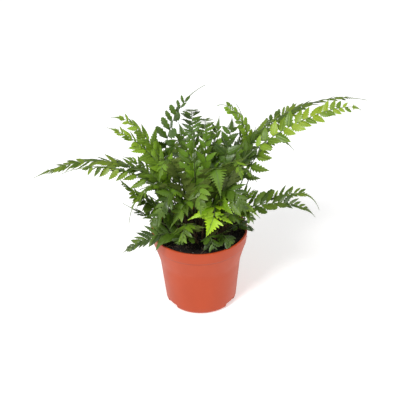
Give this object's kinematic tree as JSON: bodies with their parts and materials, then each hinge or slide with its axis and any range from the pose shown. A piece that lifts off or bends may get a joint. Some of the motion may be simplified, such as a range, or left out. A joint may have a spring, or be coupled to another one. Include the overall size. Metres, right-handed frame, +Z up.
{
  "type": "potted fern",
  "caption": "Small evergreen fern with glossy, toothed leaflets on arching fronds, growing in soil in a round plastic nursery pot.",
  "frame": {"origin": "centre of the pot's flat base, on the surface it stands on", "axes": "+Z up; -Y is the plant's best side; +X to the right when that side is looked at"},
  "size_m": [0.41, 0.2115, 0.27],
  "materials": {
    "pot_plastic": "satin",
    "potting_soil": "matte",
    "leaf_deep": "satin",
    "leaf_mid": "satin",
    "leaf_light": "satin",
    "leaf_young": "satin"
  },
  "bodies": {
    "root": {"pot": "pot_plastic", "soil": "potting_soil", "right_arm_back": "leaf_mid", "right_arm_front": "leaf_light", "right_middle": "leaf_mid", "right_low_back": "leaf_mid", "right_low_front": "leaf_deep", "left_arm_front": "leaf_mid", "left_arm_back": "leaf_mid", "left_middle": "leaf_mid", "left_low": "leaf_mid", "left_lowest": "leaf_mid", "top_left": "leaf_deep", "upper_left_back": "leaf_light", "upper_left_front": "leaf_light", "upper_left_low": "leaf_mid", "top_middle": "leaf_deep", "top_middle_right": "leaf_mid", "top_right_curl": "leaf_light", "top_right": "leaf_mid", "front_left_wide": "leaf_deep", "front_young": "leaf_young", "front_right_young": "leaf_light", "front_hanging_right": "leaf_mid", "front_hanging_left": "leaf_mid", "front_hanging_far_left": "leaf_mid", "front_soil_middle": "leaf_deep", "front_soil_right": "leaf_deep", "front_soil_left": "leaf_deep", "right_rim": "leaf_deep", "left_rim": "leaf_deep", "right_rim_back": "leaf_light", "heart_low_left": "leaf_deep", "heart_low_middle": "leaf_mid", "heart_low_right": "leaf_deep", "heart_low_far_right": "leaf_mid", "heart_left": "leaf_mid", "heart_front_left": "leaf_deep", "heart_front": "leaf_mid", "heart_front_right": "leaf_deep", "heart_right": "leaf_mid", "heart_high_left": "leaf_mid", "heart_high_right": "leaf_light", "heart_inner_left": "leaf_deep", "heart_inner_middle": "leaf_mid", "heart_inner_right": "leaf_deep", "heart_back_left": "leaf_mid", "heart_back_middle": "leaf_light", "heart_back_right": "leaf_mid", "heart_back_far_right": "leaf_deep", "back_far_right": "leaf_mid", "back_right": "leaf_deep", "back_middle_right": "leaf_mid", "back_middle_left": "leaf_deep", "back_left": "leaf_mid", "back_far_left": "leaf_deep", "back_low": "leaf_mid"}
  },
  "joints": []
}
